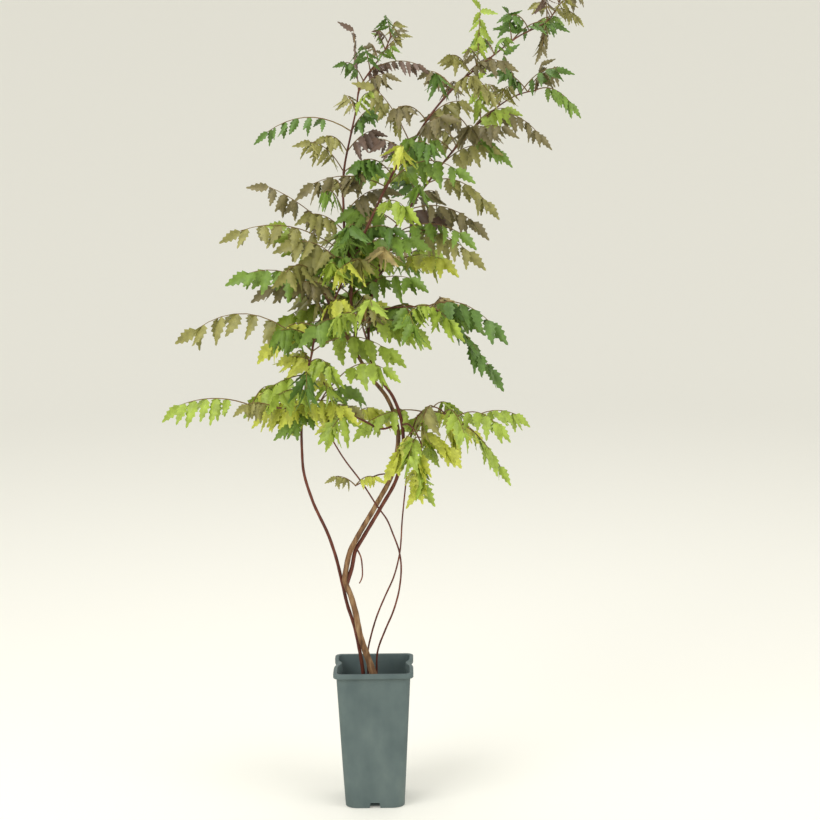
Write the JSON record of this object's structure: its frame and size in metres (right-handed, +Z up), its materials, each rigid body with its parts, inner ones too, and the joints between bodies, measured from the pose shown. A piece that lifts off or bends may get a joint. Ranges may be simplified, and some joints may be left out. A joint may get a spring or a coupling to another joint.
{
  "type": "potted climbing shrub",
  "caption": "Tall climbing shrub with arching stems and opposite feather-shaped toothed leaves, growing in a square nursery pot.",
  "frame": {"origin": "centre of the pot's flat underside", "axes": "+Z up along the stems, +X to the right seen from the front, -Y towards the front"},
  "size_m": [0.679, 0.3434, 1.33],
  "materials": {
    "pot_plastic": "matte grey-green moulded plastic with light scuffs",
    "potting_soil": "dark crumbly potting soil",
    "bark": "tan to red-brown bark",
    "foliage": "thin leaves, lime to bronze green"
  },
  "bodies": {
    "root": {"pot": "pot_plastic", "soil": "potting_soil", "stem_old_foot": "bark", "stem_old_diagonal": "bark", "stem_old_top": "bark", "leaves_old_tip": "foliage", "stem_twin": "bark", "bough_right": "bark", "leaves_right_low": "foliage", "leaves_right_middle": "foliage", "leaves_right_tip": "foliage", "stem_arch_low": "bark", "stem_arch_high": "bark", "leaves_arch_low": "foliage", "leaves_arch_high": "foliage", "leaves_arch_tip": "foliage", "leaves_left_low": "foliage", "leaves_left_middle": "foliage", "leaves_left_high": "foliage", "leaves_left_tip": "foliage", "leaves_middle_low": "foliage", "leaves_middle_middle": "foliage", "leaves_middle_high": "foliage", "leaves_middle_tip": "foliage", "stem_runner_low": "bark", "stem_runner_high": "bark", "leaves_runner": "foliage", "stem_thin": "bark", "leaves_low_right": "foliage", "leaves_right_side": "foliage", "bough_long_left": "bark", "leaves_long_left": "foliage", "leaves_hanging": "foliage", "leaves_front": "foliage", "leaves_back": "foliage", "leaves_back_right": "foliage", "leaves_pale_twig": "foliage", "twig_dead": "bark"}
  },
  "joints": []
}
